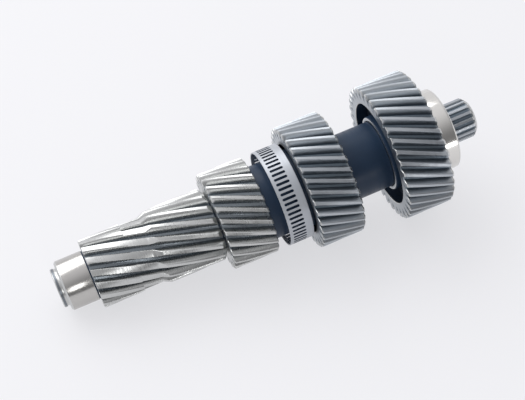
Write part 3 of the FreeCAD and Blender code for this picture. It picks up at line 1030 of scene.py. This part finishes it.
@dataclass(frozen=True)
class SlottedRing:
    """The pressed cup with a row of round-ended slots, in millimetres."""

    open_end: float = 266.0
    closed_end: float = 295.3
    outside: float = 58.3
    wall: float = 1.6
    web: float = 2.5
    bore: float = 42.0
    slots: int = 60
    slot_start: float = 269.6
    slot_length: float = 16.4
    slot_width: float = 3.2
    margin: float = 1.2
    side_steps: int = 4
    end_steps: int = 8
    corner: float = 0.5
    rim_break: float = 0.3
    inner_break: float = 0.2

    def slot_outline(self) -> tuple[np.ndarray, np.ndarray]:
        """One slot's outline as stations and distances round the ring, starting at a side's left end.

        The two sides are straight between the centres of the round ends, and each end is a half
        circle of half the slot's width.
        """
        half = self.slot_width / 2
        left, right = self.slot_start + half, self.slot_start + self.slot_length - half
        along = np.linspace(left, right, self.side_steps, endpoint=False)
        turn = np.linspace(0.0, math.pi, self.end_steps, endpoint=False)
        station = np.concatenate([
            along, right + half * np.sin(turn), right - (along - left), left - half * np.sin(turn),
        ])
        across = np.concatenate([
            np.full(self.side_steps, -half), -half * np.cos(turn),
            np.full(self.side_steps, half), half * np.cos(turn),
        ])
        return station, across

    def cell_outline(self) -> tuple[np.ndarray, np.ndarray]:
        """The outline of the stretch of wall round one slot, point for point with the slot's own.

        It is a rectangle: each round end's points go to the rest of a side, to the whole end and to
        the start of the other side, a quarter, a half and a quarter of them.
        """
        half = self.slot_width / 2
        left, right = self.slot_start + half, self.slot_start + self.slot_length - half
        low, high = self.slot_start - self.margin, self.slot_start + self.slot_length + self.margin
        edge = math.pi / self.slots
        quarter = self.end_steps // 4
        along = np.linspace(left, right, self.side_steps, endpoint=False)
        out = np.linspace(0.0, 1.0, quarter, endpoint=False)
        across = np.linspace(-edge, edge, 2 * quarter, endpoint=False)
        station = np.concatenate([
            along, right + out * (high - right), np.full(2 * quarter, high), high - out * (high - right),
            right - (along - left), left - out * (left - low), np.full(2 * quarter, low),
            low + out * (left - low),
        ])
        angle = np.concatenate([
            np.full(self.side_steps + quarter, -edge), across,
            np.full(quarter + self.side_steps + quarter, edge), -across, np.full(quarter, -edge),
        ])
        return station, angle

    def build(self, axis: AxisLine, wardrobe: Wardrobe) -> bpy.types.Object:
        """Builds the pierced wall and the plain rim, web and bore, which share its columns."""
        skin = Skin(axis)
        inside = self.outside - self.wall
        centres = (np.arange(self.slots) * TURN / self.slots)[:, None]
        slot_station, across = self.slot_outline()
        cell_station, cell_angle = self.cell_outline()
        loops = {}
        for name, radius in (("outer", self.outside), ("inner", inside)):
            stations = np.broadcast_to(slot_station, (self.slots, len(slot_station)))
            loops[name] = skin.patch(stations, radius, centres + across / self.outside)
            cells = np.broadcast_to(cell_station, stations.shape)
            loops[name + "_cell"] = skin.patch(cells, radius, centres + cell_angle)
        skin.strip(loops["outer_cell"][:, ::-1], loops["outer"][:, ::-1], Finish.SHEET)
        skin.strip(loops["inner"][:, ::-1], loops["inner_cell"][:, ::-1], Finish.SHEET)
        # The slot walls are near-black: painted shade in the slots.
        skin.strip(loops["outer"][:, ::-1], loops["inner"][:, ::-1], Finish.DARK)
        columns = self.slots * (self.end_steps // 4) * 2
        angle = (np.arange(columns) / columns * TURN) - math.pi / self.slots
        low, high = self.slot_start - self.margin, self.slot_start + self.slot_length + self.margin
        ones = np.ones(columns)
        corner, web_face = self.corner, self.closed_end - self.web
        for places in (
            [(low, inside), (self.open_end + self.inner_break, inside),
             (self.open_end, inside + self.rim_break), (self.open_end, self.outside - self.rim_break),
             (self.open_end + self.rim_break, self.outside), (low, self.outside)],
            [(high, self.outside), (self.closed_end - corner, self.outside),
             (self.closed_end, self.outside - corner), (self.closed_end, self.bore),
             (web_face, self.bore), (web_face, inside), (high, inside)],
        ):
            skin.last = None
            for station, radius in places:
                skin.ring(station, radius * ones, angle, Finish.SHEET, ones)
        return stand_for(skin, "slotted_pulse_ring", wardrobe)


@dataclass(frozen=True)
class BearingInnerRing:
    """The ground inner ring of the rear bearing, in millimetres."""

    start: float = 464.1
    end: float = 488.9
    outside: float = 49.5
    bore: float = 37.5
    front_chamfer: float = 1.0
    rear_chamfer: float = 2.2

    def build(self, axis: AxisLine, wardrobe: Wardrobe) -> bpy.types.Object:
        """Builds the ring."""
        skin = Skin(axis)
        skin.tube([
            (self.start, self.bore, Finish.POLISHED),
            (self.start, self.outside - self.front_chamfer, Finish.POLISHED),
            (self.start + self.front_chamfer, self.outside, Finish.EDGE),
            (self.end - self.rear_chamfer, self.outside, Finish.POLISHED),
            (self.end, self.outside - self.rear_chamfer, Finish.POLISHED),
            (self.end, self.bore, Finish.POLISHED),
        ])
        return stand_for(skin, "bearing_inner_ring", wardrobe)


@dataclass(frozen=True)
class Lamp:
    """A soft rectangular lamp: its place, the point it looks at and its size in metres, and its watts."""

    name: str
    place: tuple[float, float, float]
    aim: tuple[float, float, float]
    size: tuple[float, float]
    watts: float

    def hang(self) -> None:
        """Makes the lamp and turns it to its point."""
        light = bpy.data.lights.new(self.name, "AREA")
        light.shape = "RECTANGLE"
        light.size, light.size_y = self.size
        light.energy = self.watts
        lamp = bpy.data.objects.new(self.name, light)
        lamp.location = self.place
        lamp.rotation_euler = (Vector(self.aim) - Vector(self.place)).to_track_quat("-Z", "Y").to_euler()
        bpy.context.scene.collection.objects.link(lamp)


LAMPS = (
    # The daylight from behind and above.
    Lamp("window", (-0.9, 1.7, 1.9), (0.0, 0.0, 0.05), (3.2, 2.4), 50.0),
    # Two strips in front, for the bright bands on the journal and on the bearing's race.
    Lamp("front_strip", (-0.33, -1.33, 0.74), (-0.24, 0.0, 0.04), (0.25, 0.4), 1.6),
    Lamp("race_strip", (0.52, -1.16, 0.145), (0.21, 0.0, 0.1), (0.3, 0.2), 0.8),
)


@dataclass(frozen=True)
class Studio:
    """The pale table, the light and the camera at the photograph's angle."""

    paper: str = "#F1F1F4"
    azimuth: float = -22.94
    elevation: float = 51.4
    focal_px: float = 1420.0
    distance: float = 1.651
    aim_station: float = 257.0
    aim_px: tuple[float, float] = (263.4, 202.2)
    sensor_mm: float = 36.0
    table_reach: float = 4.0
    table_roughness: float = 0.9
    table_glow: float = 0.7
    bright_side: tuple[float, float, float] = (-0.35, 0.75, 0.56)
    dim_from: float = -0.55
    bright_from: float = 0.75
    dim: float = 0.25
    bright: float = 1.0

    def camera(self, axis: AxisLine) -> bpy.types.Object:
        """Makes the camera, so that a station of the axis falls on its place in the picture.

        Args:
            axis: The shaft's axis.

        Returns:
            The camera.
        """
        lens = bpy.data.cameras.new("camera")
        lens.sensor_width = self.sensor_mm
        lens.lens = self.sensor_mm * self.focal_px / IMAGE_WIDTH
        lens.clip_start, lens.clip_end = 0.05, 50.0
        azimuth, elevation = math.radians(self.azimuth), math.radians(self.elevation)
        back = Vector((
            math.sin(azimuth) * math.cos(elevation),
            -math.cos(azimuth) * math.cos(elevation),
            math.sin(elevation),
        ))
        right = Vector((math.cos(azimuth), math.sin(azimuth), 0.0))
        up = back.cross(right)
        aim = Vector(axis.start + axis.along * self.aim_station * MM)
        shift_right = (self.aim_px[0] - IMAGE_WIDTH / 2) / self.focal_px * self.distance
        shift_up = (IMAGE_HEIGHT / 2 - self.aim_px[1]) / self.focal_px * self.distance
        spot = aim + back * self.distance - right * shift_right - up * shift_up
        camera = bpy.data.objects.new("camera", lens)
        camera.matrix_world = Matrix.Translation(spot) @ Matrix((right, up, back)).transposed().to_4x4()
        bpy.context.scene.collection.objects.link(camera)
        bpy.context.scene.camera = camera
        return camera

    def table(self) -> bpy.types.Object:
        """Makes the pale table that the shaft lies on.

        Returns:
            The table.
        """
        reach = self.table_reach
        mesh = bpy.data.meshes.new("table")
        corners = [(-reach, -reach, 0.0), (reach, -reach, 0.0), (reach, reach, 0.0), (-reach, reach, 0.0)]
        mesh.from_pydata(corners, [], [(0, 1, 2, 3)])
        board = bpy.data.objects.new("table", mesh)
        bpy.context.scene.collection.objects.link(board)
        paper = bpy.data.materials.new("matt_white_table")
        paper.use_nodes = True
        tree = paper.node_tree
        shader = tree.nodes["Principled BSDF"]
        shader.inputs["Base Color"].default_value = linear(self.paper)
        shader.inputs["Roughness"].default_value = self.table_roughness
        pale = add_node(tree, "ShaderNodeEmission", {"Color": linear(self.paper), "Strength": 1.0})
        share = add_node(
            tree, "ShaderNodeMath", {0: self.seen(tree), 1: self.table_glow}, operation="MULTIPLY"
        )
        mixed = add_node(
            tree,
            "ShaderNodeMixShader",
            {0: share.outputs["Value"], 1: shader.outputs["BSDF"], 2: pale.outputs["Emission"]},
        )
        tree.links.new(mixed.outputs["Shader"], tree.nodes["Material Output"].inputs["Surface"])
        mesh.materials.append(paper)
        return board

    @staticmethod
    def seen(tree: bpy.types.NodeTree) -> bpy.types.NodeSocket:
        """A socket that is one for what the camera sees, itself or in metal, and zero for light.

        Args:
            tree: The table's nodes.

        Returns:
            The socket.
        """
        ray = add_node(tree, "ShaderNodeLightPath")
        mirrored = add_node(
            tree,
            "ShaderNodeMath",
            {0: ray.outputs["Is Glossy Ray"], 1: ray.outputs["Is Transmission Ray"]},
            operation="MAXIMUM",
        )
        seen = add_node(
            tree,
            "ShaderNodeMath",
            {0: ray.outputs["Is Camera Ray"], 1: mirrored.outputs["Value"]},
            operation="MAXIMUM",
        )
        return seen.outputs["Value"]

    def world(self) -> None:
        """Makes the pale room, brighter behind and over the shaft than in front of it."""
        world = bpy.data.worlds.new("room")
        bpy.context.scene.world = world
        world.use_nodes = True
        tree = world.node_tree
        place = add_node(tree, "ShaderNodeTexCoord")
        facing = add_node(
            tree,
            "ShaderNodeVectorMath",
            {0: place.outputs["Generated"], 1: self.bright_side},
            operation="DOT_PRODUCT",
        )
        span = {
            "From Min": self.dim_from, "From Max": self.bright_from,
            "To Min": self.dim, "To Max": self.bright,
        }
        light = add_node(
            tree,
            "ShaderNodeMapRange",
            {"Value": facing.outputs["Value"]} | span,
            interpolation_type="SMOOTHSTEP",
        )
        background = tree.nodes["Background"]
        background.inputs["Color"].default_value = linear(self.paper)
        tree.links.new(light.outputs["Result"], background.inputs["Strength"])

    def build(self, axis: AxisLine) -> None:
        """Sets up the table, the lamps, the room and the camera.

        Args:
            axis: The shaft's axis.
        """
        self.table()
        for lamp in LAMPS:
            lamp.hang()
        self.world()
        self.camera(axis)
        bpy.context.scene.view_settings.view_transform = "Standard"


def main() -> None:
    """Builds every piece round the frame and reports it."""
    logging.basicConfig(level=logging.INFO, format="%(name)s: %(message)s")
    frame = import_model()
    shaft = Countershaft()
    axis = AxisLine.from_record(frame["record"], shaft.journal_middle)
    wardrobe = Wardrobe(math.atan2(axis.along[2], axis.along[0]))
    for part in (shaft, small_gear(), large_gear(), SlottedRing(), BearingInnerRing()):
        piece = part.build(axis, wardrobe)
        LOG.info("%s has %d faces", piece.name, len(piece.data.polygons))
    Studio().build(axis)


if __name__ == "__main__":
    main()
